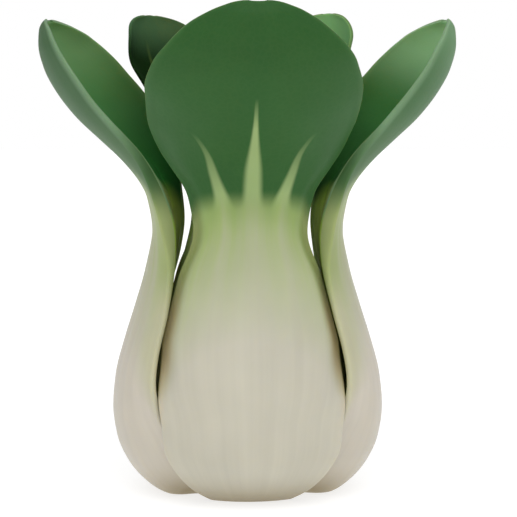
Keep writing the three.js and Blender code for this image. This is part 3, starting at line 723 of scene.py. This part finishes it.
# %% [markdown]
# ## The core
# The short stem that every leaf grows from. Its cut end is the flat disc the head stands on. It is
# turned, so a circle is extruded ring by ring up its profile.

# %% The core, ring by ring
CORE_PROFILE = [(16.0, 0.0), (16.5, 0.6), (16.5, 14.0), (15.4, 14.9), (14.6, 20), (13.2, 24.2),
                (12.7, 25.2), (11.5, 29), (10.4, 31.8), (9.0, 35.5), (7.1, 38.2), (5.2, 41.8),
                (2.9, 44.8), (0.4, 46)]


def turn_core():
    deselect_all()
    radius, height = CORE_PROFILE[0]
    bpy.ops.mesh.primitive_circle_add(vertices=96, radius=radius * MM, fill_type="NGON")
    piece = bpy.context.object
    piece.name = piece.data.name = "cut_core"
    bpy.ops.object.mode_set(mode="EDIT")
    bpy.ops.mesh.select_all(action="SELECT")
    for wider, higher in CORE_PROFILE[1:]:
        bpy.ops.mesh.extrude_region_move(TRANSFORM_OT_translate={"value": (0, 0, (higher - height) * MM)})
        grow = wider / radius
        bpy.ops.transform.resize(value=(grow, grow, 1), center_override=(0, 0, higher * MM))
        radius, height = wider, higher
    bpy.ops.mesh.select_all(action="SELECT")
    bpy.ops.mesh.normals_make_consistent(inside=False)
    bpy.ops.object.mode_set(mode="OBJECT")
    bpy.ops.object.shade_smooth_by_angle(angle=math.radians(40))
    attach(piece, "root")
    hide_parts("core")
    return piece


core = turn_core()
print("core:", len(core.data.polygons), "faces")

# %% [markdown]
# ## The cut face
# The knife leaves a pale, moist face with a ring of bundles, and the rim dries a little brown. The
# pattern is measured from the axis, so it reads Object coordinates.

# %% The core's finish
def core_finish():
    material = bpy.data.materials.new("core_flesh")
    material.use_nodes = True
    tree = material.node_tree
    shader = tree.nodes["Principled BSDF"]
    place = add_node(tree, "ShaderNodeTexCoord", {}, output=3)
    split = tree.nodes.new("ShaderNodeSeparateXYZ")
    tree.links.new(place, split.inputs[0])
    squares = maths(tree, "ADD", maths(tree, "MULTIPLY", split.outputs[0], split.outputs[0]),
                    maths(tree, "MULTIPLY", split.outputs[1], split.outputs[1]))
    from_axis = maths(tree, "SQRT", squares)
    spots = add_node(tree, "ShaderNodeTexVoronoi", {"Vector": place, "Scale": 420.0})
    bundle = ramp(tree, spots, 0.16, 0.34, 1.0, 0.0)
    ring = maths(tree, "MULTIPLY", ramp(tree, from_axis, 0.0075, 0.0095),
                 ramp(tree, from_axis, 0.0125, 0.0145, 1.0, 0.0))
    cloud = add_node(tree, "ShaderNodeTexNoise", {"Vector": place, "Scale": 260.0, "Detail": 3.0})
    rim = maths(tree, "MULTIPLY", ramp(tree, from_axis, 0.0135, 0.0165), 0.55)
    flesh_tone = blend_colours(tree, cloud, colour(214, 206, 178), colour(196, 188, 152))
    bundled = blend_colours(tree, maths(tree, "MULTIPLY", bundle, maths(tree, "MULTIPLY", ring, 0.6)),
                            flesh_tone, colour(168, 172, 118))
    dried = blend_colours(tree, rim, bundled, colour(170, 146, 104))
    tree.links.new(dried, shader.inputs["Base Color"])
    tree.links.new(maths(tree, "MULTIPLY_ADD", cloud, 0.2, 0.4), shader.inputs["Roughness"])
    bump = add_node(tree, "ShaderNodeBump", {"Height": cloud, "Strength": 0.2, "Distance": 0.0003})
    tree.links.new(bump, shader.inputs["Normal"])
    shader.inputs["Subsurface Weight"].default_value = 0.12
    shader.inputs["Subsurface Scale"].default_value = 0.003
    return material


core.data.materials.append(core_finish())
print("core finish:", core.data.materials[0].name)

# %% [markdown]
# ## Studio
# A plain white floor, a soft light from above and an even white surround, so that the shapes read
# by soft shading alone. The floor runs on past the view and meets the white world without a line.

# %% Floor, light and world
bpy.ops.object.select_all(action="DESELECT")
bpy.ops.mesh.primitive_plane_add(size=8, location=(0, 0, 0))
floor = bpy.context.object
floor.name = "studio_floor"
paper = bpy.data.materials.new("white_paper")
paper.use_nodes = True
sheet = paper.node_tree.nodes["Principled BSDF"]
sheet.inputs["Base Color"].default_value = (0.35, 0.35, 0.35, 1)
sheet.inputs["Roughness"].default_value = 0.9
sheet.inputs["Specular IOR Level"].default_value = 0.1
sheet.inputs["Emission Color"].default_value = (1, 1, 1, 1)
sheet.inputs["Emission Strength"].default_value = 0.76
floor.data.materials.append(paper)

bpy.ops.object.light_add(type="SUN", location=(0.3, -0.4, 1))
sky_light = bpy.context.object
sky_light.name = "soft_top_light"
sky_light.data.energy, sky_light.data.angle = 1.75, math.radians(60)
sky_light.rotation_euler = (math.radians(32), math.radians(3), 0)

world = bpy.data.worlds.new("studio")
bpy.context.scene.world = world
world.use_nodes = True
air = world.node_tree
lit = air.nodes["Background"]
lit.inputs["Color"].default_value, lit.inputs["Strength"].default_value = (1, 1, 1, 1), 0.53
seen = air.nodes.new("ShaderNodeBackground")
seen.inputs["Color"].default_value, seen.inputs["Strength"].default_value = (1, 1, 1, 1), 1.0
rays, choose = air.nodes.new("ShaderNodeLightPath"), air.nodes.new("ShaderNodeMixShader")
air.links.new(rays.outputs["Is Camera Ray"], choose.inputs[0])
air.links.new(lit.outputs[0], choose.inputs[1])
air.links.new(seen.outputs[0], choose.inputs[2])
air.links.new(choose.outputs[0], air.nodes["World Output"].inputs["Surface"])
bpy.context.scene.view_settings.view_transform = "Standard"
print("studio: floor", floor.name, "light", sky_light.name)

# %% [markdown]
# ## Camera
# A long lens, a little above the middle of the head, looking straight at its front.

# %% The camera
DISTANCE, ELEVATION = 0.576, math.radians(5)
AIM = (0.0035, 0.0, 0.074)
SENSOR, LENS_TO_SENSOR = 36, 1800 / 517  # so long that the head nearly fills the frame
bpy.ops.object.camera_add(location=(AIM[0], -DISTANCE * math.cos(ELEVATION),
                                    AIM[2] + DISTANCE * math.sin(ELEVATION)),
                          rotation=(math.pi / 2 - ELEVATION, 0, 0))
camera = bpy.context.object
camera.name = "portrait_camera"
camera.data.sensor_width, camera.data.lens = SENSOR, SENSOR * LENS_TO_SENSOR
camera.data.clip_start = 0.01
bpy.context.scene.camera = camera
print("camera lens:", round(camera.data.lens, 1), "mm")
